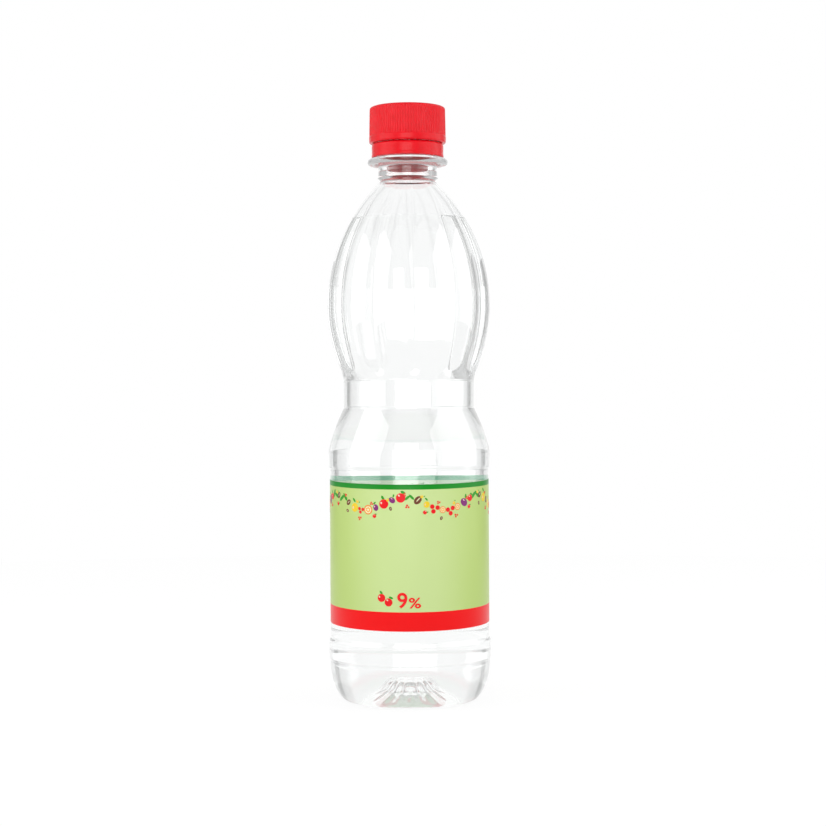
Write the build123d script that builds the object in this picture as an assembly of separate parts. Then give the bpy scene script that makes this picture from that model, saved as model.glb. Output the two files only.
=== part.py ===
from build123d import *
import math
import os

os.makedirs("parts", exist_ok=True)

# A half-litre clear PET bottle of vinegar under its red screw cap.
# The origin is the middle of the ring that the bottle stands on, +Z is up and the label's front is at -Y.
# Pieces: the bottle, the vinegar in it, the wrap-round label, the cap and the tamper band below the cap.

# ---- Driving sizes, in millimetres and degrees ----

# Base, from the axis outwards: a raised dome, a shallow cone and the flat ring that touches the table.
dome_top_radius = 5.8
dome_top_height = 9.4
dome_foot_radius = 8.2
dome_foot_height = 6.2
contact_width = 1.2
base_thickness = 1.2

# Ribs that stiffen the side of the dome, on its underside.
dome_rib_count = 16
dome_rib_width = 0.9
dome_rib_depth = 0.7

# Lower body, from the bottom up.
body_radius = 31.6
body_wall = 0.45
heel_width = 7.85
heel_height = 16.8
heel_step = 0.15
base_band_height = 7.4
panel_step_height = 0.8
panel_height = 66.0
panel_recess = 0.55
upper_band_height = 5.2
flare_height = 17.8
flare_power = 1.4

# Waist: a short cylinder between two faint grooves.
waist_radius = 25.7
waist_height = 9.8
waist_groove = 0.25

# Bulb: lobes between flutes, ending on a smooth foot just above the waist.
bulb_radius = 32.2
bulb_foot_flare = 0.65
bulb_foot_height = 2.6
bulb_lower_height = 26.0
bulb_lower_power = 1.8
flute_count = 12
flute_depth = 1.5
flute_angle = 5.0
flute_foot_fade = 6.0
flute_top_fade = 16.0

# Shoulder, neck, support ring and mouth.
shoulder_height = 49.8
shoulder_power = 2.13
shoulder_thickening_power = 8
neck_radius = 11.55
neck_wall = 1.9
neck_flare = 0.5
neck_flare_height = 1.6
neck_height = 3.8
ring_reach = 3.3
ring_edge_height = 1.4
ring_slope_height = 0.7
ring_bevel = 0.6
finish_wall = 2.8
finish_height = 18.8

# Contents: how far the vinegar's surface lies below the foot of the neck, and its gap to the wall.
fill_depth = 15.0
wetting_gap = 0.05

# Label: a thin film round the recessed panel, clear of both ends of it.
label_bottom_margin = 5.0
label_top_margin = 5.5
label_thickness = 0.1
label_gap = 0.02

# Cap and tamper band.
cap_wall = 2.55
cap_draft = 0.35
cap_height = 14.4
cap_top_thickness = 1.6
cap_top_round = 2.0
cap_bead_height = 2.6
cap_rib_count = 90
cap_rib_depth = 0.35
cap_rib_width = 0.7
cap_rib_top_margin = 1.1
cap_clearance = 0.15
band_wall = 1.35
band_clearance = 0.35
band_slit = 0.25
band_ring_gap = 0.4

# ---- Heights and radii that follow from them ----

base_band_bottom = heel_height
base_band_top = base_band_bottom + base_band_height
panel_bottom = base_band_top + panel_step_height
panel_top = panel_bottom + panel_height
upper_band_bottom = panel_top + panel_step_height
upper_band_top = upper_band_bottom + upper_band_height
flare_top = upper_band_top + flare_height
waist_bottom = flare_top + waist_groove
waist_top = waist_bottom + waist_height
bulb_foot = waist_top + waist_groove
lobe_bottom = bulb_foot + bulb_foot_height
bulb_middle = lobe_bottom + bulb_lower_height
neck_foot = bulb_middle + shoulder_height
neck_top = neck_foot + neck_flare_height + neck_height
ring_edge_bottom = neck_top + ring_slope_height
ring_top = ring_edge_bottom + ring_bevel + ring_edge_height + ring_bevel
mouth = ring_top + finish_height
cap_top = mouth + cap_top_thickness
cap_bottom = cap_top - cap_height
band_top = cap_bottom - band_slit
band_bottom = ring_top + band_ring_gap
fill_level = neck_foot - fill_depth
panel_radius = body_radius - panel_recess
heel_radius = body_radius - heel_step
contact_outer_radius = heel_radius - heel_width
contact_inner_radius = contact_outer_radius - contact_width
waist_foot_radius = waist_radius - waist_groove
bulb_foot_radius = waist_foot_radius + bulb_foot_flare
bore_radius = neck_radius - neck_wall
finish_radius = bore_radius + finish_wall
ring_radius = finish_radius + ring_reach
cap_bore_radius = finish_radius + cap_clearance
cap_radius = cap_bore_radius + cap_wall
band_bore_radius = finish_radius + band_clearance
band_radius = band_bore_radius + band_wall


# ---- Profiles ----

def power_curve(start, end, power, count=9):
    """Points from start, where the curve runs straight up, to end, leaving the vertical as a power law."""
    points = []
    for step in range(count):
        share = step / (count - 1)
        radius = start[0] + (end[0] - start[0]) * share ** power
        height = start[1] + (end[1] - start[1]) * share
        points.append((radius, height))
    return points


def wall_at(height):
    """Wall thickness: even over the body, thickening up the shoulder to the wall of the neck."""
    share = max(0.0, (height - bulb_middle) / shoulder_height)
    return body_wall + (neck_wall - body_wall) * share ** shoulder_thickening_power


def crest_radius(height):
    """Radius of the bulb over the middle of a lobe."""
    if height < bulb_middle:
        share = (bulb_middle - height) / bulb_lower_height
        return bulb_radius - (bulb_radius - bulb_foot_radius) * share ** bulb_lower_power
    share = (height - bulb_middle) / shoulder_height
    return bulb_radius - (bulb_radius - neck_radius - neck_flare) * share ** shoulder_power


def flute_depth_at(height):
    """Depth of a flute below the crests: nothing at both ends of the bulb, rounding up to full depth."""
    foot_share = min(1.0, (height - lobe_bottom) / flute_foot_fade)
    top_share = min(1.0, (neck_foot - height) / flute_top_fade)
    return flute_depth * math.sqrt(1 - (1 - foot_share) ** 2) * top_share


# ---- Solids of revolution and lobed sections ----

def revolve_outline(outline):
    """Solid of revolution about Z from a closed outline."""
    return revolve(make_face(outline.edges()), axis=Axis.Z)


def turned(*points):
    """Solid of revolution about Z whose outline has straight sides between (radius, height) corners."""
    with BuildLine(Plane.XZ) as outline:
        Polyline(*points, close=True)
    return revolve_outline(outline)


def lower_body(wall, base):
    """Everything below the bulb as one turned solid, set in by a wall and a base thickness."""
    heel_start = (contact_outer_radius, base)
    heel_end = (heel_radius - wall, heel_height)
    flare_foot = (body_radius - wall, upper_band_top)
    flare_head = (waist_foot_radius - wall, flare_top)
    with BuildLine(Plane.XZ) as outline:
        Polyline(
            (0, dome_top_height + base),
            (dome_top_radius + base / 2, dome_top_height + base),
            (dome_foot_radius + base / 2, dome_foot_height + base),
            (contact_inner_radius, base),
            heel_start,
        )
        EllipticalCenterArc(
            (contact_outer_radius, heel_height),
            heel_width - wall,
            heel_height - base,
            start_angle=270,
            arc_size=90,
        )
        Polyline(
            heel_end,
            (body_radius - wall, base_band_bottom + heel_step),
            (body_radius - wall, base_band_top),
            (panel_radius - wall, panel_bottom),
            (panel_radius - wall, panel_top),
            (body_radius - wall, upper_band_bottom),
            flare_foot,
        )
        Spline(power_curve(flare_foot, flare_head, flare_power))
        Polyline(
            flare_head,
            (waist_radius - wall, waist_bottom),
            (waist_radius - wall, waist_top),
            (waist_foot_radius - wall, bulb_foot),
            (bulb_foot_radius - wall, lobe_bottom),
            (0, lobe_bottom),
            (0, dome_top_height + base),
        )
    return revolve_outline(outline)


def lobed_section(height, inset):
    """Outline across the bulb: one arc over each lobe, meeting the next in a flute."""
    crest = crest_radius(height) - inset
    root = crest - flute_depth_at(height)
    pitch = 360 / flute_count
    arcs = []
    for lobe in range(flute_count):
        first = math.radians(flute_angle + lobe * pitch)
        middle = math.radians(flute_angle + (lobe + 0.5) * pitch)
        last = math.radians(flute_angle + (lobe + 1) * pitch)
        arcs.append(ThreePointArc(
            (root * math.cos(first), root * math.sin(first), height),
            (crest * math.cos(middle), crest * math.sin(middle), height),
            (root * math.cos(last), root * math.sin(last), height),
        ))
    return Wire(arcs)


def bulb(inset_at):
    """Lobed bulb and shoulder, set in by a wall that may change with height."""
    fade_steps = [lobe_bottom + flute_foot_fade * share for share in (0, 0.12, 0.4, 1)]
    rise = neck_foot - fade_steps[-1]
    rise_steps = [fade_steps[-1] + rise * step / 10 for step in range(1, 11)]
    sections = [lobed_section(height, inset_at(height)) for height in fade_steps + rise_steps]
    return Solid.make_loft(sections)


# ---- The pieces ----

def make_bottle():
    """Blown bottle: outer skin less its inside, with the neck, support ring and mouth on top."""
    neck = turned(
        (0, neck_foot),
        (neck_radius + neck_flare, neck_foot),
        (neck_radius, neck_foot + neck_flare_height),
        (neck_radius, neck_top),
        (ring_radius - ring_bevel, ring_edge_bottom),
        (ring_radius, ring_edge_bottom + ring_bevel),
        (ring_radius, ring_top - ring_bevel),
        (ring_radius - ring_bevel, ring_top),
        (finish_radius, ring_top),
        (finish_radius, mouth),
        (0, mouth),
    )
    skin = lower_body(0, 0) + bulb(lambda height: 0) + neck
    bore = Pos(0, 0, neck_foot) * Cylinder(
        bore_radius, mouth - neck_foot, align=(Align.CENTER, Align.CENTER, Align.MIN)
    )
    inside = make_inside(0) + bore
    return skin - inside + make_dome_ribs()


def make_inside(gap):
    """Space inside the bottle below the neck, less a gap all round."""
    hollow = lower_body(body_wall + gap, base_thickness + gap)
    return hollow + bulb(lambda height: wall_at(height) + gap)


def make_dome_ribs():
    """Short upright ribs inside the hollow of the dome, against its sloping side."""
    with BuildSketch(Plane.XZ) as rib_outline:
        Polygon(
            (dome_top_radius, dome_top_height + base_thickness / 2),
            (dome_foot_radius + base_thickness / 2, dome_foot_height),
            (dome_foot_radius - dome_rib_depth, dome_foot_height),
            (dome_top_radius - dome_rib_depth, dome_top_height - dome_rib_depth),
            (dome_top_radius - dome_rib_depth, dome_top_height + base_thickness / 2),
            align=None,
        )
    rib = extrude(rib_outline.sketch, dome_rib_width / 2, both=True)
    first = flute_angle + 180 / flute_count
    return [place * rib for place in PolarLocations(0, dome_rib_count, start_angle=first)]


def make_vinegar():
    """Vinegar: the inside of the bottle up to the fill level."""
    return split(make_inside(wetting_gap), Plane.XY.offset(fill_level), keep=Keep.BOTTOM)


def make_label():
    """Label film round the panel, closed on itself."""
    inner = panel_radius + label_gap
    outer = inner + label_thickness
    bottom = panel_bottom + label_bottom_margin
    top = panel_top - label_top_margin
    return turned((inner, bottom), (outer, bottom), (outer, top), (inner, top))


def make_cap():
    """Screw cap with a fine-ribbed skirt over a smooth bead, seated on the mouth."""
    top_radius = cap_radius - cap_draft
    bead_top = cap_bottom + cap_bead_height
    shell = turned(
        (0, cap_top),
        (top_radius, cap_top),
        (cap_radius, bead_top),
        (cap_radius, cap_bottom),
        (cap_bore_radius, cap_bottom),
        (cap_bore_radius, mouth),
        (0, mouth),
    )
    shell = fillet(shell.edges().filter_by(GeomType.CIRCLE).sort_by(Axis.Z)[-1], cap_top_round)
    notch_length = cap_top - cap_rib_top_margin - bead_top
    with BuildSketch() as notch_outline:
        Polygon(
            (cap_radius - cap_rib_depth, 0),
            (cap_radius + cap_rib_depth, cap_rib_width),
            (cap_radius + cap_rib_depth, -cap_rib_width),
            align=None,
        )
    notch = extrude(notch_outline.sketch, notch_length)
    notches = [loc * notch for loc in PolarLocations(0, cap_rib_count)]
    return shell - [Pos(0, 0, bead_top) * cut for cut in notches]


def make_tamper_band():
    """Smooth tamper band between the cap and the support ring."""
    return turned(
        (band_bore_radius, band_bottom),
        (band_radius, band_bottom),
        (band_radius, band_top),
        (band_bore_radius, band_top),
    )


pieces = {
    "bottle": make_bottle(),
    "vinegar": make_vinegar(),
    "label": make_label(),
    "cap": make_cap(),
    "tamper_band": make_tamper_band(),
}

for name, piece in pieces.items():
    export_step(piece, f"parts/{name}.step")
    print(name, round(piece.volume / 1000, 2), "ml")
print("height", round(cap_top, 2), "fill level", round(fill_level, 2))
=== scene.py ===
# %% [markdown]
# # A clear bottle of vinegar
#
# The CAD model is loaded first and stays where it is. The pieces below are made to its sizes and places.
# The visual pieces are made round it, in metres, in the same frame: +Z up, the label's front towards -Y.

# %% Load the frame
import math

import bpy
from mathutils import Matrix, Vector


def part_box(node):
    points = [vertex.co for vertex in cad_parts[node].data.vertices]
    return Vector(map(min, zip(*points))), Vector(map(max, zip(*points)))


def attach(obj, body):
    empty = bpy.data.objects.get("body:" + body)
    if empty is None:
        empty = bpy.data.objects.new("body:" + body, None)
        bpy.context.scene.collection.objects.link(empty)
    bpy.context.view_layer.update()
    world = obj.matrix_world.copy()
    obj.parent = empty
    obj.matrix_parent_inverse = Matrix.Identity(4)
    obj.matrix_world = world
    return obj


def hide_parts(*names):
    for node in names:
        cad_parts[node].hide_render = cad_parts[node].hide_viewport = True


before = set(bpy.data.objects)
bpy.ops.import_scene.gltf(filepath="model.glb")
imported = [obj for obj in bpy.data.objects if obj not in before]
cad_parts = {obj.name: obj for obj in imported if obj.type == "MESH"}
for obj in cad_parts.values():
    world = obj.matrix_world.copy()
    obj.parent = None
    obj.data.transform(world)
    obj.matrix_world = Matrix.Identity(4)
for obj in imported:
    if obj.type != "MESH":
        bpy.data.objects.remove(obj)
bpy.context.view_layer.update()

MM = 0.001

# %% [markdown]
# ## The camera
#
# A bottle is best shown from the side, a little under half its height, with a long lens, so that its outline
# stays straight and only the rings at top and bottom open into thin ellipses.

# %% Camera
horizon = 112.5 * MM
camera_distance = 776 * MM
camera_side_step = 1.6 * MM
camera_roll = math.radians(-0.3)

bpy.ops.object.camera_add(
    location=(camera_side_step, -camera_distance, horizon),
    rotation=(math.radians(90), 0, 0),
)
camera = bpy.context.object
camera.rotation_euler.rotate_axis("Z", camera_roll)
camera.data.lens = 86.1
camera.data.sensor_width = 36
camera.data.clip_start = 0.01
bpy.context.scene.camera = camera
print("camera", tuple(round(v, 4) for v in camera.location))

# %% [markdown]
# ## Sizes of the bottle
#
# These are the CAD model's sizes, in millimetres, from the base up. The heights of the label, the fill line,
# the cap and the band are read from the frame instead.

# %% Sizes
dome_top_radius, dome_top_height = 5.8, 9.4
dome_foot_radius, dome_foot_height = 8.2, 6.2
contact_inner_radius, contact_outer_radius = 22.4, 23.6
base_thickness = 1.2
body_radius, body_wall = 31.6, 0.45
panel_radius = 31.05
heel_radius, heel_height, heel_step = 31.45, 16.8, 0.15
base_band_top, panel_bottom, panel_top = 24.2, 25.0, 91.0
upper_band_bottom, upper_band_top = 91.8, 97.0
flare_top, flare_power = 114.8, 1.4
waist_radius, waist_foot_radius = 25.7, 25.45
waist_bottom, waist_top, bulb_foot = 115.05, 124.85, 125.1
bulb_foot_radius, lobe_bottom = 26.1, 127.7
bulb_radius, bulb_middle, bulb_power = 32.2, 153.7, 1.8
neck_foot, shoulder_power = 203.5, 2.13
neck_radius, neck_flare, neck_flare_height, neck_top = 11.55, 0.5, 1.6, 208.9
bore_radius, neck_wall = 9.65, 1.9
ring_radius, ring_edge_bottom, ring_top = 15.75, 209.6, 212.2
finish_radius = 12.45
flute_count, flute_depth, flute_angle = 12, 1.5, 5.0
flute_foot_fade, flute_top_fade = 6.0, 16.0
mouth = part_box("bottle")[1].z / MM
fill_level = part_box("vinegar")[1].z / MM
print("mouth", round(mouth, 2), "fill level", round(fill_level, 2))

# %% [markdown]
# ## Turning a profile
#
# Nearly every piece here is round, so each starts as one vertex that is extruded along half of its section,
# and the section is then spun about the axis. That is how a lathe or a mould maker thinks of the shape, and it
# leaves clean quads. Corners are eased first, because moulded plastic has no knife edges.

# %% Profile helpers
def eased(corners, count=4):
    """Outline through (radius, height, ease) corners, each corner rounded over its ease."""
    outline = []
    last = len(corners) - 1
    for index, (radius, height, ease) in enumerate(corners):
        corner = Vector((radius, height))
        if ease == 0 or index in (0, last):
            outline.append(corner)
            continue
        before = Vector(corners[index - 1][:2]) - corner
        after = Vector(corners[index + 1][:2]) - corner
        start = corner + before.normalized() * min(ease, before.length * 0.45)
        end = corner + after.normalized() * min(ease, after.length * 0.45)
        for step in range(count + 1):
            share = step / count
            outline.append(start * (1 - share) ** 2 + corner * 2 * share * (1 - share) + end * share ** 2)
    return outline


def start_piece(name):
    """A new mesh of one vertex at the origin, in edit mode, made from a plane."""
    bpy.ops.object.select_all(action="DESELECT")
    bpy.ops.mesh.primitive_plane_add(size=MM, location=(0, 0, 0))
    piece = bpy.context.object
    piece.name = name
    piece.data.name = name
    bpy.ops.object.mode_set(mode="EDIT")
    bpy.ops.mesh.select_all(action="SELECT")
    bpy.ops.mesh.merge(type="CENTER")
    return piece


def turn(name, outline, steps):
    """Spin an outline of (radius, height) points, in millimetres, once about the axis."""
    piece = start_piece(name)
    here = Vector((0, 0))
    first = True
    for point in outline:
        move = (point - here) * MM
        if first:
            bpy.ops.transform.translate(value=(move.x, 0, move.y))
            first = False
        elif move.length > 1e-7:
            bpy.ops.mesh.extrude_region_move(TRANSFORM_OT_translate={"value": (move.x, 0, move.y)})
        here = point
    bpy.ops.mesh.select_all(action="SELECT")
    bpy.ops.mesh.spin(steps=steps, angle=math.tau, center=(0, 0, 0), axis=(0, 0, 1))
    finish_mesh()
    bpy.ops.object.shade_smooth()
    print(name, len(piece.data.polygons), "faces")
    return piece


def finish_mesh():
    """Merge the seam and the poles, and point every face outwards."""
    bpy.ops.mesh.select_all(action="SELECT")
    bpy.ops.mesh.remove_doubles(threshold=1e-6)
    bpy.ops.mesh.normals_make_consistent(inside=False)
    bpy.ops.object.mode_set(mode="OBJECT")


# %% [markdown]
# ## The bottle's wall
#
# The bottle is blown from clear plastic: thin and even over the body, thicker at the base and up the shoulder
# to the neck. One function gives the skin set in by any wall, so the outside, the inside and the vinegar all
# follow the same form and can't drift apart.

# %% The bottle's section
def crest_radius(height):
    """Radius of the bulb over the middle of a lobe."""
    if height < bulb_middle:
        share = (bulb_middle - height) / (bulb_middle - lobe_bottom)
        return bulb_radius - (bulb_radius - bulb_foot_radius) * share ** bulb_power
    share = (height - bulb_middle) / (neck_foot - bulb_middle)
    return bulb_radius - (bulb_radius - neck_radius - neck_flare) * share ** shoulder_power


def thickening(height):
    """Extra wall up the shoulder, from nothing to the neck's."""
    share = max(0.0, (height - bulb_middle) / (neck_foot - bulb_middle))
    return (neck_wall - body_wall) * share ** 8


def lower_skin(wall, base):
    """Section from the middle of the base up to the foot of the bulb."""
    corners = [
        (0, dome_top_height + base, 0),
        (dome_top_radius + base / 2, dome_top_height + base, 1.2),
        (dome_foot_radius + base / 2, dome_foot_height + base, 1.6),
        (contact_inner_radius - 3, base + 1.2, 2.5),
        (contact_inner_radius, base, 1.0),
        (contact_outer_radius, base, 0),
    ]
    outline = eased(corners)
    for step in range(1, 17):
        turn_angle = math.radians(90) * step / 16
        outline.append(Vector((
            contact_outer_radius + (heel_radius - wall - contact_outer_radius) * math.sin(turn_angle),
            heel_height - (heel_height - base) * math.cos(turn_angle),
        )))
    outline += eased([
        (heel_radius - wall, heel_height, 0),
        (body_radius - wall, heel_height + heel_step, 0.3),
        (body_radius - wall, base_band_top, 0.6),
        (panel_radius - wall, panel_bottom, 0.6),
        (panel_radius - wall, panel_top, 0.6),
        (body_radius - wall, upper_band_bottom, 0.6),
        (body_radius - wall, upper_band_top, 0),
    ])[1:]
    for step in range(1, 17):
        share = step / 16
        radius = body_radius - (body_radius - waist_foot_radius) * share ** flare_power
        outline.append(Vector((radius - wall, upper_band_top + (flare_top - upper_band_top) * share)))
    outline += eased([
        (waist_foot_radius - wall, flare_top, 0),
        (waist_radius - wall, waist_bottom, 0.35),
        (waist_radius - wall, waist_top, 0.35),
        (waist_foot_radius - wall, bulb_foot, 0.5),
        (bulb_foot_radius - wall, lobe_bottom, 0),
    ])[1:]
    return outline


def bulb_skin(wall, top):
    """Section of the bulb and shoulder over a lobe, up to a height."""
    outline = []
    count = 72
    for step in range(1, count + 1):
        height = lobe_bottom + (top - lobe_bottom) * step / count
        outline.append(Vector((crest_radius(height) - wall - thickening(height), height)))
    return outline


outside = lower_skin(0, 0) + bulb_skin(0, neck_foot)
neck = eased([
    (neck_radius + neck_flare, neck_foot, 0),
    (neck_radius, neck_foot + neck_flare_height, 1.2),
    (neck_radius, neck_top, 0.5),
    (ring_radius - 0.7, ring_edge_bottom, 0.5),
    (ring_radius, ring_edge_bottom + 0.7, 0.5),
    (ring_radius, ring_top - 0.8, 0.6),
    (ring_radius - 0.9, ring_top, 0.6),
    (finish_radius, ring_top, 0.3),
    (finish_radius, mouth, 0.4),
    (bore_radius, mouth, 0.4),
    (bore_radius, neck_foot + 0.6, 1.0),
])[1:]
inside = lower_skin(body_wall, base_thickness) + bulb_skin(body_wall, neck_foot)
bottle = turn("clear_bottle", outside + neck + inside[::-1], 240)

# %% [markdown]
# ## Pressing the flutes
#
# The bulb is pressed into lobes like a melon. Each lobe is an arc across the bulb, and two lobes meet in a
# flute. A radius worked out from the angle and the height moves every vertex straight towards the axis, on
# both faces of the wall alike, so the wall keeps its thickness. The same press gives the dome its ribs.

# %% Flutes and ribs
def flute_depth_at(height):
    """Depth of a flute: it rounds up from nothing at the foot and fades out under the neck."""
    if not lobe_bottom < height < neck_foot:
        return 0.0
    foot_share = min(1.0, (height - lobe_bottom) / flute_foot_fade)
    top_share = min(1.0, (neck_foot - height) / flute_top_fade)
    return flute_depth * math.sqrt(1 - (1 - foot_share) ** 2) * top_share


def lobe_inset(crest, depth, away, half_pitch):
    """How far an arc-shaped lobe falls below its crest, at an angle away from its middle."""
    root = crest - depth
    centre = (crest ** 2 - root ** 2) / (2 * (crest - root * math.cos(half_pitch)))
    reach = crest - centre
    return crest - centre * math.cos(away) - math.sqrt(reach ** 2 - (centre * math.sin(away)) ** 2)


def angle_from_middle(x, y, count, start):
    """Angle to the middle of the nearest of count even lobes, the first flute being at start degrees."""
    pitch = math.tau / count
    turned = (math.atan2(y, x) - math.radians(start)) % pitch
    return abs(turned - pitch / 2)


def press_flutes(piece):
    """Move the bulb's vertices in towards the axis to make the lobes."""
    for vertex in piece.data.vertices:
        height = vertex.co.z / MM
        depth = flute_depth_at(height)
        radius = math.hypot(vertex.co.x, vertex.co.y)
        if depth < 0.001 or radius < bore_radius * MM:
            continue
        away = angle_from_middle(vertex.co.x, vertex.co.y, flute_count, flute_angle)
        inset = lobe_inset(crest_radius(height), depth, away, math.pi / flute_count)
        vertex.co.xy *= 1 - inset * MM / radius


def press_dome(piece, count=16, depth=0.7):
    """Ribs round the sloping side of the dome in the base."""
    for vertex in piece.data.vertices:
        radius = math.hypot(vertex.co.x, vertex.co.y) / MM
        height = vertex.co.z / MM
        if height > dome_top_height + base_thickness + 0.5 or not 4.5 < radius < 10.5:
            continue
        share = 1 - abs(radius - 7.5) / 3
        wave = math.cos(math.atan2(vertex.co.y, vertex.co.x) * count)
        vertex.co.z -= depth * MM * max(0.0, share) * (0.5 + 0.5 * wave)


press_flutes(bottle)
press_dome(bottle)
bottle.data.update()
print("flutes", flute_count, "deepest", flute_depth, "mm")

# %% [markdown]
# ## The vinegar
#
# Liquid in a clear wall is shown by a solid that reaches a little way into the wall, so that no film of air
# is left between the two. Its surface climbs the wall by a fraction of a millimetre all round.

# %% Vinegar
soak = 0.2
meniscus = 0.7
wetted = lower_skin(body_wall - soak, base_thickness - soak) + bulb_skin(body_wall - soak, fill_level)
wet_edge = wetted[-1].x
wetted += [
    Vector((wet_edge - soak - 0.35, fill_level - meniscus * 0.55)),
    Vector((wet_edge - soak - 0.9, fill_level - meniscus * 0.85)),
    Vector((wet_edge - soak - 2.2, fill_level - meniscus)),
    Vector((wet_edge * 0.5, fill_level - meniscus)),
    Vector((0, fill_level - meniscus)),
]
vinegar = turn("vinegar_fill", wetted, 240)
press_flutes(vinegar)
press_dome(vinegar)
vinegar.data.update()

# %% [markdown]
# ## The label
#
# A printed film goes once round the recessed panel. It is a thin closed tube that just clears the plastic.

# %% Label film
def tilt_film(piece):
    """Lift the film towards the back of the bottle, as it sits a little askew in its recess."""
    for vertex in piece.data.vertices:
        vertex.co.z += film_tilt * (vertex.co.y + label_outer * MM)
    piece.data.update()


label_low, label_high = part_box("label")
label_bottom, label_top = label_low.z / MM, label_high.z / MM
label_outer = panel_radius + 0.12
label_inner = panel_radius + 0.02
film_tilt = 0.0385
label = turn("label_film", eased([
    (label_inner, label_bottom, 0),
    (label_outer, label_bottom, 0.03),
    (label_outer, (label_bottom + label_top) / 2, 0),
    (label_outer, label_top, 0.03),
    (label_inner, label_top, 0),
    (label_inner, label_bottom, 0),
], count=2), 256)
bpy.ops.object.shade_smooth_by_angle(angle=math.radians(35))
tilt_film(label)
print("label", round(label_bottom, 1), "to", round(label_top, 1))

# %% [markdown]
# ## The cap and the tamper band
#
# The cap's skirt carries fine upright ribs for grip, from just under the rounded top down to a smooth bead.
# It is turned with several steps to each rib, and the ribs are then pressed in as the flutes were.

# %% Cap
cap_low, cap_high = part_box("cap")
cap_bottom, cap_top = cap_low.z / MM, cap_high.z / MM
cap_radius = cap_high.x / MM
rib_count, rib_depth = 90, 0.3
bead_top = cap_bottom + 2.6
rib_top = cap_top - 1.1
cap_bore = finish_radius + 0.15
cap = turn("red_cap", eased([
    (0, cap_top, 0),
    (cap_radius - 6, cap_top, 1.5),
    (cap_radius - 0.35, cap_top, 2.2),
    (cap_radius - 0.3, rib_top - 1.2, 0),
    (cap_radius - 0.22, (rib_top + bead_top) / 2, 0),
    (cap_radius - 0.15, bead_top + 0.4, 0),
    (cap_radius - 0.13, bead_top + 0.1, 0.2),
    (cap_radius, bead_top - 0.2, 0.2),
    (cap_radius - 0.05, bead_top - 1.2, 0.3),
    (cap_radius - 0.1, cap_bottom + 0.4, 0.4),
    (cap_radius - 0.5, cap_bottom, 0.3),
    (cap_bore, cap_bottom, 0.2),
    (cap_bore, mouth, 0.2),
    (0, mouth, 0),
], count=6), rib_count * 6)


def press_ribs(piece):
    """Press the grooves between the grip ribs of the cap."""
    for vertex in piece.data.vertices:
        height = vertex.co.z / MM
        radius = math.hypot(vertex.co.x, vertex.co.y)
        if radius < (cap_radius - 1.4) * MM or not bead_top < height < cap_top:
            continue
        fade = min(1.0, (height - bead_top) / 0.4) * min(1.0, max(0.0, (cap_top - 0.35 - height) / 0.8))
        away = angle_from_middle(vertex.co.x, vertex.co.y, rib_count, 0) * rib_count / math.pi
        vertex.co.xy *= 1 - rib_depth * MM * fade * away ** 2 / radius


press_ribs(cap)
cap.data.update()

# %% Tamper band
band_low, band_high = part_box("tamper_band")
band_bottom, band_top = band_low.z / MM, band_high.z / MM
band_radius = band_high.x / MM
band_bore = finish_radius + 0.35
band = turn("tamper_ring", eased([
    (band_bore, band_bottom, 0),
    (band_radius, band_bottom, 0.3),
    (band_radius, band_bottom + 0.9, 0.3),
    (band_radius - 0.12, band_bottom + 1.3, 0.3),
    (band_radius - 0.05, band_top - 0.8, 0.4),
    (band_radius - 0.4, band_top, 0.3),
    (band_bore, band_top, 0),
    (band_bore, band_bottom, 0),
]), 180)
bpy.ops.object.shade_smooth_by_angle(angle=math.radians(40))

# %% [markdown]
# ## Clear materials
#
# Clear plastic and vinegar are both refracting shaders. What makes them read is the light round them, so
# their own colour stays close to white, with a trace of waviness that blow moulding leaves in the wall.
# Light that is caught between the walls would be cut off after a dozen passes and leave black patches in the
# thick ring and the base, so late passes are given a little light of their own.

# %% Materials for the clear pieces
def new_material(name):
    """A node material with its shader, ready to be wired."""
    material = bpy.data.materials.new(name)
    material.use_nodes = True
    shader = material.node_tree.nodes["Principled BSDF"]
    return material, material.node_tree, shader


def object_noise(tree, scale, detail=2.0, stretch=(1, 1, 1)):
    """Noise in object coordinates, stretched along the axes."""
    place = tree.nodes.new("ShaderNodeTexCoord")
    mapping = tree.nodes.new("ShaderNodeMapping")
    noise = tree.nodes.new("ShaderNodeTexNoise")
    mapping.inputs["Scale"].default_value = stretch
    noise.inputs["Scale"].default_value = scale
    noise.inputs["Detail"].default_value = detail
    tree.links.new(place.outputs["Object"], mapping.inputs["Vector"])
    tree.links.new(mapping.outputs["Vector"], noise.inputs["Vector"])
    return noise


def add_bump(tree, shader, noise, distance, strength=1.0):
    """Wire a noise to the shader's normal as a relief of a given depth."""
    bump = tree.nodes.new("ShaderNodeBump")
    bump.inputs["Strength"].default_value = strength
    bump.inputs["Distance"].default_value = distance
    tree.links.new(noise.outputs["Fac"], bump.inputs["Height"])
    tree.links.new(bump.outputs["Normal"], shader.inputs["Normal"])


def light_after(tree, passes, count, amount):
    """A little light once a ray has made more than a count of passes, else nothing."""
    late = tree.nodes.new("ShaderNodeMath")
    late.operation = "GREATER_THAN"
    late.inputs[1].default_value = count + 0.5
    light = tree.nodes.new("ShaderNodeMath")
    light.operation = "MULTIPLY"
    light.inputs[1].default_value = amount
    tree.links.new(passes, late.inputs[0])
    tree.links.new(late.outputs["Value"], light.inputs[0])
    return light.outputs["Value"]


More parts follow.
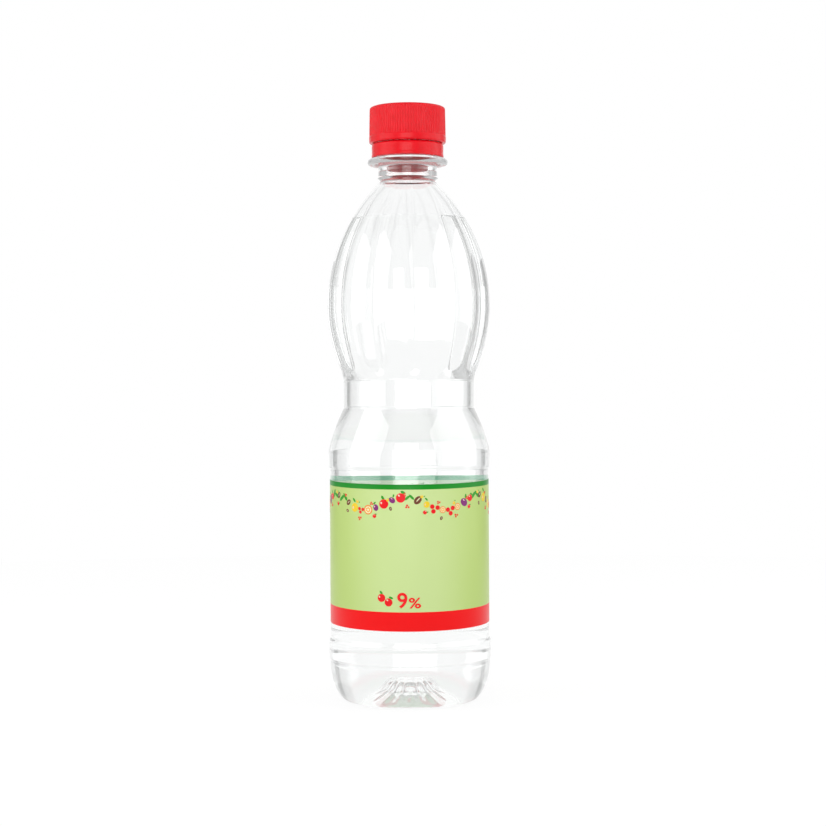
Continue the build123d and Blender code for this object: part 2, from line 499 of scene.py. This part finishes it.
def clear_material(name, colour, refraction, waviness):
    """A clear refracting material with faint waves in its surface."""
    material, tree, shader = new_material(name)
    shader.inputs["Base Color"].default_value = (*colour, 1)
    shader.inputs["Roughness"].default_value = 0.0
    shader.inputs["IOR"].default_value = refraction
    shader.inputs["Transmission Weight"].default_value = 1.0
    path = tree.nodes.new("ShaderNodeLightPath")
    leak = tree.nodes.new("ShaderNodeMath")
    leak.operation = "ADD"
    tree.links.new(light_after(tree, path.outputs["Ray Depth"], 8, 0.08), leak.inputs[0])
    tree.links.new(light_after(tree, path.outputs["Glossy Depth"], 2, 0.17), leak.inputs[1])
    tree.links.new(leak.outputs["Value"], shader.inputs["Emission Strength"])
    shader.inputs["Emission Color"].default_value = (1, 1, 1, 1)
    if waviness:
        add_bump(tree, shader, object_noise(tree, 60, 1.0, (1, 1, 0.35)), waviness)
    return material


plastic = clear_material("clear_plastic", (0.970, 0.974, 0.974), 1.57, 0.00004)
liquid = clear_material("clear_vinegar", (0.995, 0.998, 0.995), 1.34, 0)
bottle.data.materials.append(plastic)
vinegar.data.materials.append(liquid)

# %% [markdown]
# ## Red plastic
#
# The cap and its band are moulded from one bright red plastic with a satin skin and very faint mottling.

# %% Red plastic
def red_plastic():
    """Bright red moulded plastic with faint mottling and a satin skin."""
    material, tree, shader = new_material("red_plastic")
    mottle = object_noise(tree, 350, 3.0)
    ramp = tree.nodes.new("ShaderNodeValToRGB")
    ramp.color_ramp.elements[0].position = 0.3
    ramp.color_ramp.elements[0].color = (0.80, 0.001, 0.008, 1)
    ramp.color_ramp.elements[1].position = 0.7
    ramp.color_ramp.elements[1].color = (0.88, 0.002, 0.012, 1)
    tree.links.new(mottle.outputs["Fac"], ramp.inputs["Fac"])
    tree.links.new(ramp.outputs["Color"], shader.inputs["Base Color"])
    shader.inputs["Roughness"].default_value = 0.25
    shader.inputs["Specular IOR Level"].default_value = 0.25
    add_bump(tree, shader, object_noise(tree, 900, 2.0), 0.00001)
    return material


red = red_plastic()
cap.data.materials.append(red)
band.data.materials.append(red)

# %% [markdown]
# ## The label's ground
#
# The film is printed in flat fields: a pale green ground, a dark green line along the top and a red band along
# the foot. The ground is painted lighter in the middle of the front and back and darker towards the sides,
# painted shade where the round film turns from the light. The fields follow the height above the table and the
# angle round the bottle. Inside the bottle the same print shows paler through the film, and that side glows
# faintly, painted light in place of the light that reaches it through the bottle.

# %% Label ground
red_band_height = 7.3
green_line_height = 1.9


def field_edge(tree, height, above):
    """One where a point lies above (or below) a height, else nothing."""
    place = tree.nodes.new("ShaderNodeTexCoord")
    level = tree.nodes.new("ShaderNodeVectorMath")
    level.operation = "DOT_PRODUCT"
    level.inputs[1].default_value = (0, -film_tilt, 1)
    test = tree.nodes.new("ShaderNodeMath")
    test.operation = "GREATER_THAN" if above else "LESS_THAN"
    test.inputs[1].default_value = (height + film_tilt * label_outer) * MM
    tree.links.new(place.outputs["Object"], level.inputs[0])
    tree.links.new(level.outputs["Value"], test.inputs[0])
    return test.outputs["Value"]


def layer(tree, under, over, mask):
    """Lay one colour over another through a mask; over is a plain colour."""
    # Sockets 6 and 7 are the two colours of a colour mix, and output 2 is its colour.
    mix = tree.nodes.new("ShaderNodeMix")
    mix.data_type = "RGBA"
    tree.links.new(mask, mix.inputs["Factor"])
    tree.links.new(under, mix.inputs[6])
    mix.inputs[7].default_value = (*over, 1)
    return mix.outputs[2]


def label_material(name, middle, side, top_line, foot_band, glow=0.0):
    """Printed film: ground, top line and foot band; painted shade darkens the ground's sides, and glow is
    painted light.
    """
    material, tree, shader = new_material(name)
    place = tree.nodes.new("ShaderNodeTexCoord")
    split = tree.nodes.new("ShaderNodeSeparateXYZ")
    across = tree.nodes.new("ShaderNodeMath")
    across.operation = "ABSOLUTE"
    # Painted shade: the ground darkens from the middle of the front and back towards the sides.
    ramp = tree.nodes.new("ShaderNodeValToRGB")
    ramp.color_ramp.interpolation = "EASE"
    ramp.color_ramp.elements[0].position = 0.25
    ramp.color_ramp.elements[0].color = (*middle, 1)
    ramp.color_ramp.elements[1].position = 1.0
    ramp.color_ramp.elements[1].color = (*side, 1)
    scale = tree.nodes.new("ShaderNodeMath")
    scale.operation = "DIVIDE"
    scale.inputs[1].default_value = label_outer * MM
    tree.links.new(place.outputs["Object"], split.inputs["Vector"])
    tree.links.new(split.outputs["X"], across.inputs[0])
    tree.links.new(across.outputs["Value"], scale.inputs[0])
    tree.links.new(scale.outputs["Value"], ramp.inputs["Fac"])
    colour = ramp.outputs["Color"]
    colour = layer(tree, colour, top_line, field_edge(tree, label_top - green_line_height, True))
    colour = layer(tree, colour, foot_band, field_edge(tree, label_bottom + red_band_height, False))
    tree.links.new(colour, shader.inputs["Base Color"])
    tree.links.new(colour, shader.inputs["Emission Color"])
    # The glow is painted light: the film shines by itself in its own colours.
    shader.inputs["Emission Strength"].default_value = glow
    shader.inputs["Roughness"].default_value = 0.3
    shader.inputs["Specular IOR Level"].default_value = 0.2
    add_bump(tree, shader, object_noise(tree, 25, 1.0, (1, 1, 0.4)), 0.0001, 0.3)
    return material


outer_print = label_material(
    "label_print", (0.64, 0.80, 0.34), (0.52, 0.69, 0.19), (0.0, 0.27, 0.01), (0.98, 0.004, 0.006)
)
# The film's back glows faintly, painted light in place of the light that reaches it through the bottle.
inner_print_with_glow = label_material(
    "label_back", (0.62, 0.80, 0.55), (0.55, 0.72, 0.48), (0.05, 0.47, 0.22), (0.85, 0.25, 0.25), 0.3
)
label.data.materials.append(outer_print)
label.data.materials.append(inner_print_with_glow)
for face in label.data.polygons:
    outwards = Vector((face.center.x, face.center.y, 0)).normalized()
    face.material_index = 1 if face.normal.dot(outwards) < -0.5 else 0

# %% [markdown]
# ## Printed motifs
#
# The print is drawn flat first, as it would be on the unrolled film: x runs along the film and z up it. Each
# colour is one sheet of simple outlines. The sheets are given a thickness and then wrapped round the bottle, so
# that they pass through the film and show from both sides. Small fruits, slices and leaves hang in swags under
# the green line.

# %% Drawing on the flat film
def edit_only(piece):
    """Select one piece by itself and open it in edit mode."""
    bpy.ops.object.select_all(action="DESELECT")
    bpy.context.view_layer.objects.active = piece
    piece.select_set(True)
    bpy.ops.object.mode_set(mode="EDIT")


def lay_shape(across, up, width, height, turned, corners):
    """Lay one ellipse, or a shape of a few corners, on the open sheet, in millimetres and degrees."""
    place = (across * MM, 0, up * MM)
    bpy.ops.mesh.primitive_circle_add(
        vertices=corners, radius=MM / 2, fill_type="TRIFAN", location=place, rotation=(math.radians(90), 0, 0)
    )
    bpy.ops.transform.resize(value=(width, 1, height), center_override=place)
    bpy.ops.transform.rotate(value=math.radians(turned), orient_axis="Y", center_override=place)


def wrap(piece, inner, outer):
    """Give a flat drawing thickness and wrap it round the bottle between two radii."""
    edit_only(piece)
    bpy.ops.mesh.select_all(action="SELECT")
    bpy.ops.mesh.extrude_region_move(TRANSFORM_OT_translate={"value": (0, -MM, 0)})
    bpy.ops.mesh.select_all(action="SELECT")
    bpy.ops.mesh.normals_make_consistent(inside=False)
    bpy.ops.object.mode_set(mode="OBJECT")
    bpy.ops.object.shade_flat()
    for vertex in piece.data.vertices:
        radius = (outer if vertex.co.y < -0.5 * MM else inner) * MM
        around = vertex.co.x / (label_outer * MM)
        vertex.co.x = radius * math.sin(around)
        vertex.co.y = -radius * math.cos(around)
    piece.data.update()


# %% [markdown]
# Each motif is a short list of marks, drawn at a size of one and then scaled, leaned and put in its place. A
# mark is a colour, an offset across and up, a width and height, a turn in degrees and a count of corners.

# %% Motifs
segments = []
for degrees in range(0, 360, 60):
    swing = math.radians(degrees)
    segments.append(("segment", 0.2 * math.sin(swing), 0.2 * math.cos(swing), 0.26, 0.3, degrees, 3))

fruits = {
    "apple": [
        ("red", 0, 0, 1, 1, 0, 14),
        ("leaf", 0.12, 0.62, 0.3, 0.6, 50, 6),
        ("pale", -0.22, 0.2, 0.18, 0.26, 30, 8),
    ],
    "slice": [
        ("orange", 0, 0, 1, 1, 0, 16),
        ("cream", 0, 0, 0.78, 0.78, 0, 16),
        *segments,
    ],
    "pear": [
        ("yellow", 0, -0.1, 0.9, 0.95, 0, 14),
        ("leaf", 0.3, 0.62, 0.26, 0.6, 70, 6),
        ("pale", -0.2, 0, 0.16, 0.3, 20, 8),
    ],
    "leaves": [
        ("leaf", -0.3, 0, 0.4, 1.1, -50, 6),
        ("leaf", 0.35, 0.1, 0.4, 1.1, 45, 6),
    ],
    "plum": [
        ("purple", 0, 0, 0.8, 1, 25, 14),
        ("leaf", -0.1, 0.68, 0.26, 0.5, -40, 6),
        ("pale", -0.16, 0.18, 0.12, 0.3, 25, 8),
    ],
    "berries": [
        ("red", -0.3, 0, 0.5, 0.5, 0, 10),
        ("red", 0.3, 0.1, 0.5, 0.5, 0, 10),
        ("red", 0, -0.42, 0.5, 0.5, 0, 10),
    ],
    "nut": [
        ("brown", 0, 0, 0.7, 1, -30, 12),
        ("cream", 0.05, 0.05, 0.12, 0.6, -30, 6),
    ],
}
fruit_names = list(fruits)

# Linear colour, and the radii between which the sheet lies; the under colours pass through the film.
inks = {
    "leaf": ((0.03, 0.36, 0.02), label_inner - 0.004, label_outer + 0.03),
    "red": ((0.90, 0.01, 0.015), label_inner - 0.008, label_outer + 0.05),
    "orange": ((0.95, 0.25, 0.01), label_inner - 0.008, label_outer + 0.05),
    "yellow": ((0.95, 0.66, 0.03), label_inner - 0.008, label_outer + 0.05),
    "purple": ((0.25, 0.03, 0.20), label_inner - 0.008, label_outer + 0.05),
    "brown": ((0.17, 0.05, 0.02), label_inner - 0.008, label_outer + 0.05),
    "cream": ((0.95, 0.88, 0.55), label_outer + 0.01, label_outer + 0.065),
    "segment": ((0.98, 0.42, 0.02), label_outer + 0.01, label_outer + 0.08),
    "pale": ((0.95, 0.75, 0.60), label_outer + 0.01, label_outer + 0.065),
}
marks = {colour: [] for colour in inks}
print("kinds of motif", fruit_names)


# %% Swags of fruit
def draw_fruit(kind, across, up, size, lean):
    """Add one motif's marks to their colours' lists; kinds run on round the list of names."""
    lean_angle = math.radians(lean)
    for colour, side, rise, width, height, turned, corners in fruits[fruit_names[kind % len(fruits)]]:
        marks[colour].append((
            across + size * (side * math.cos(lean_angle) + rise * math.sin(lean_angle)),
            up + size * (rise * math.cos(lean_angle) - side * math.sin(lean_angle)),
            width * size,
            height * size,
            turned + lean,
            corners,
        ))


around = math.tau * label_outer
swag_count, swag_drop = 6, 5.5
swag_steps = 60
for number in range(swag_steps):
    across = around * (number / swag_steps - 0.5)
    sag = abs(math.cos(math.pi * swag_count * (number + 0.5) / swag_steps))
    up = label_top - green_line_height - 3.0 - swag_drop * (1 - sag ** 2) * 0.9
    size = 3.6 if number % 2 else 2.6
    draw_fruit(number * 3 + number // 7, across, up, size, (number * 47) % 60 - 30)
    if number % 2:
        draw_fruit(3 + number % 4 * 2, across + 1.6, up + 2.7 - 1.5 * sag, 1.3, (number * 31) % 90)
    else:
        draw_fruit(5 + number % 3, across - 0.6, up - 3.2, 1.5, (number * 53) % 90)
for across, up, size, lean in ((-10.9, 42.6, 3.1, -14), (-8.1, 41.0, 3.1, 18)):
    draw_fruit(0, across, up, size, lean)
print("marks", {colour: len(drawn) for colour, drawn in marks.items()})

# %% Printing the sheets
def ink_material(name, colour):
    """A printed colour: full outside, and paler where it is seen from inside through the film."""
    material, tree, shader = new_material(name)
    place = tree.nodes.new("ShaderNodeTexCoord")
    flat = tree.nodes.new("ShaderNodeVectorMath")
    flat.operation = "MULTIPLY"
    flat.inputs[1].default_value = (1, 1, 0)
    length = tree.nodes.new("ShaderNodeVectorMath")
    length.operation = "LENGTH"
    within = tree.nodes.new("ShaderNodeMath")
    within.operation = "LESS_THAN"
    within.inputs[1].default_value = (label_inner + 0.02) * MM
    tree.links.new(place.outputs["Object"], flat.inputs[0])
    tree.links.new(flat.outputs["Vector"], length.inputs[0])
    tree.links.new(length.outputs["Value"], within.inputs[0])
    plain = tree.nodes.new("ShaderNodeRGB")
    plain.outputs["Color"].default_value = (*colour, 1)
    paler = tuple(0.35 * part + 0.65 * ground for part, ground in zip(colour, (0.62, 0.80, 0.55)))
    printed = layer(tree, plain.outputs["Color"], paler, within.outputs["Value"])
    tree.links.new(printed, shader.inputs["Base Color"])
    shader.inputs["Roughness"].default_value = 0.3
    shader.inputs["Specular IOR Level"].default_value = 0.2
    return material


sheets = []
for colour, (ink, inner, outer) in inks.items():
    sheet = start_piece("print_" + colour)
    bpy.ops.mesh.delete(type="VERT")
    for mark in marks[colour]:
        lay_shape(*mark)
    bpy.ops.object.mode_set(mode="OBJECT")
    wrap(sheet, inner, outer)
    sheet.data.materials.append(ink_material("ink_" + colour, ink))
    sheets.append(sheet)

bpy.ops.object.select_all(action="DESELECT")
for piece in sheets:
    piece.select_set(True)
bpy.context.view_layer.objects.active = sheets[0]
bpy.ops.object.join()
motifs = bpy.context.object
motifs.name = "label_motifs"
tilt_film(motifs)
print("motifs", len(motifs.data.polygons), "faces")

# %% [markdown]
# ## The strength figure
#
# The plain strength is set in red above the foot band. The letters are made mesh and wrapped round the film
# like the motifs. They stand a little prouder, so that their flat triangles clear the curve.

# %% Strength figure
def printed_text(name, words, left, baseline, width, height):
    """Lettering of a given width and height on the flat film, from its left end."""
    bpy.ops.object.select_all(action="DESELECT")
    bpy.ops.object.text_add(location=(0, 0, 0), rotation=(math.radians(90), 0, 0))
    piece = bpy.context.object
    piece.name = name
    piece.data.body = words
    piece.data.size = 10 * MM
    piece.data.offset = 0.15 * MM
    bpy.ops.object.convert(target="MESH")
    bpy.ops.object.transform_apply(location=True, rotation=True, scale=True)
    low = Vector(min(v.co[axis] for v in piece.data.vertices) for axis in range(3))
    high = Vector(max(v.co[axis] for v in piece.data.vertices) for axis in range(3))
    for vertex in piece.data.vertices:
        vertex.co.x = (left + (vertex.co.x - low.x) / (high.x - low.x) * width) * MM
        vertex.co.z = (baseline + (vertex.co.z - low.z) / (high.z - low.z) * height) * MM
    bpy.ops.object.mode_set(mode="EDIT")
    bpy.ops.mesh.select_all(action="SELECT")
    bpy.ops.mesh.remove_doubles(threshold=1e-6)
    bpy.ops.object.mode_set(mode="OBJECT")
    wrap(piece, label_outer - 0.05, label_outer + 0.13)
    return piece


figure = printed_text("strength_figure", "9", -4.7, 38.8, 3.8, 5.9)
percent = printed_text("strength_percent", "%", -0.35, 38.8, 4.6, 4.0)
figure.select_set(True)
bpy.context.view_layer.objects.active = figure
bpy.ops.object.join()
strength = bpy.context.object
strength.name = "label_strength"
strength.data.materials.append(ink_material("ink_figure", (0.92, 0.006, 0.01)))
print("strength figure", len(strength.data.polygons), "faces")

# %% [markdown]
# ## The stage
#
# A round pale floor under plain white light. The floor and the world are white to the eye and to what shows
# through the clear pieces, with softly darker sectors off to the sides, which draw the grey edges of the
# bottle as flags beside a studio backdrop do.

# %% World and floor
def ray_kind(tree, *kinds):
    """One for the kinds of ray named, else nothing."""
    path = tree.nodes.new("ShaderNodeLightPath")
    total = path.outputs[kinds[0]]
    for kind in kinds[1:]:
        join = tree.nodes.new("ShaderNodeMath")
        join.operation = "MAXIMUM"
        tree.links.new(total, join.inputs[0])
        tree.links.new(path.outputs[kind], join.inputs[1])
        total = join.outputs["Value"]
    return total


def sector_shade(tree, vector, dark):
    """White round the four square directions, shading to a darker sector on each diagonal."""
    split = tree.nodes.new("ShaderNodeSeparateXYZ")
    angle = tree.nodes.new("ShaderNodeMath")
    angle.operation = "ARCTAN2"
    four = tree.nodes.new("ShaderNodeMath")
    four.operation = "MULTIPLY"
    four.inputs[1].default_value = 4.0
    wave = tree.nodes.new("ShaderNodeMath")
    wave.operation = "COSINE"
    ramp = tree.nodes.new("ShaderNodeValToRGB")
    ramp.color_ramp.elements[0].position = 0.0
    ramp.color_ramp.elements[0].color = (dark, dark, dark, 1)
    ramp.color_ramp.elements[1].position = 0.35
    ramp.color_ramp.elements[1].color = (1, 1, 1, 1)
    for position, grey in ((0.012, dark), (0.035, 0.7), (0.2, 0.82)):
        ramp.color_ramp.elements.new(position).color = (grey, grey, grey, 1)
    lift = tree.nodes.new("ShaderNodeMath")
    lift.operation = "MULTIPLY_ADD"
    lift.inputs[1].default_value = 0.5
    lift.inputs[2].default_value = 0.5
    tree.links.new(vector, split.inputs["Vector"])
    tree.links.new(split.outputs["Y"], angle.inputs[0])
    tree.links.new(split.outputs["X"], angle.inputs[1])
    tree.links.new(angle.outputs["Value"], four.inputs[0])
    tree.links.new(four.outputs["Value"], wave.inputs[0])
    tree.links.new(wave.outputs["Value"], lift.inputs[0])
    tree.links.new(lift.outputs["Value"], ramp.inputs["Fac"])
    return ramp.outputs["Color"]


world_fill = 0.42
world = bpy.data.worlds.new("studio")
world.use_nodes = True
bpy.context.scene.world = world
tree = world.node_tree
background = tree.nodes["Background"]
direction = tree.nodes.new("ShaderNodeTexCoord")
seen = tree.nodes.new("ShaderNodeMix")
seen.data_type = "RGBA"
seen.inputs[6].default_value = (world_fill, world_fill, world_fill, 1)
clear_mix = tree.nodes.new("ShaderNodeMix")
clear_mix.data_type = "RGBA"
tree.links.new(sector_shade(tree, direction.outputs["Generated"], 0.35), seen.inputs[7])
tree.links.new(ray_kind(tree, "Is Glossy Ray", "Is Transmission Ray"), seen.inputs["Factor"])
tree.links.new(seen.outputs[2], clear_mix.inputs[6])
clear_mix.inputs[7].default_value = (1, 1, 1, 1)
tree.links.new(ray_kind(tree, "Is Camera Ray"), clear_mix.inputs["Factor"])
tree.links.new(clear_mix.outputs[2], background.inputs["Color"])
background.inputs["Strength"].default_value = 1.0

bpy.ops.object.select_all(action="DESELECT")
bpy.ops.mesh.primitive_circle_add(vertices=128, radius=0.8, fill_type="NGON", location=(0, 0, -0.0002))
floor = bpy.context.object
floor.name = "floor"
floor_material, tree, shader = new_material("pale_floor")
shader.inputs["Base Color"].default_value = (0.9, 0.9, 0.9, 1)
shader.inputs["Roughness"].default_value = 0.9
glow = tree.nodes.new("ShaderNodeEmission")
glow.inputs["Color"].default_value = (1, 1, 1, 1)
glow.inputs["Strength"].default_value = 1.08
blend = tree.nodes.new("ShaderNodeMixShader")
share = tree.nodes.new("ShaderNodeMath")
share.operation = "MULTIPLY"
share.inputs[1].default_value = 0.85
tree.links.new(ray_kind(tree, "Is Camera Ray", "Is Glossy Ray", "Is Transmission Ray"), share.inputs[0])
tree.links.new(share.outputs["Value"], blend.inputs["Fac"])
tree.links.new(shader.outputs["BSDF"], blend.inputs[1])
tree.links.new(glow.outputs["Emission"], blend.inputs[2])
tree.links.new(blend.outputs["Shader"], tree.nodes["Material Output"].inputs["Surface"])
floor.data.materials.append(floor_material)

# %% [markdown]
# ## Softboxes
#
# One softbox stands behind the camera and a wide one on each side. Their long reflections run down the cap
# and the bottle, with darker gaps between them.

# %% Lamps
def softbox(name, bearing, distance, width, height, centre_height, brightness):
    """An area lamp on a bearing from the front, turned to face the bottle, of a given surface brightness."""
    away = math.radians(bearing)
    place = Vector((math.sin(away) * distance, -math.cos(away) * distance, centre_height))
    bpy.ops.object.light_add(type="AREA", location=place)
    lamp = bpy.context.object
    lamp.name = name
    lamp.data.shape = "RECTANGLE"
    lamp.data.size = width
    lamp.data.size_y = height
    lamp.data.energy = brightness * math.pi * width * height
    aim = Vector((0, 0, horizon)) - place
    lamp.rotation_euler = aim.to_track_quat("-Z", "Y").to_euler()
    return lamp


softbox("front_box", -3.5, 1.25, 0.75, 0.9, 0.30, 2.2)
softbox("left_box", -66, 1.0, 1.0, 1.2, 0.35, 1.3)
softbox("right_box", 76, 1.0, 1.5, 1.2, 0.35, 1.0)
bpy.context.scene.view_settings.view_transform = "Standard"

# %% [markdown]
# ## Seating the pieces
#
# Every visible piece rides on the one body and stands for the CAD node of its shape.

# %% Bodies and replaced nodes
for piece, node, slot in (
    (bottle, "bottle", "clear_bottle"),
    (vinegar, "vinegar", "vinegar"),
    (label, "label", "label_film"),
    (motifs, None, "label_film"),
    (strength, None, "label_film"),
    (cap, "cap", "red_cap"),
    (band, "tamper_band", "red_cap"),
):
    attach(piece, "root")
    if node:
        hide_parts(node)

bpy.context.view_layer.update()
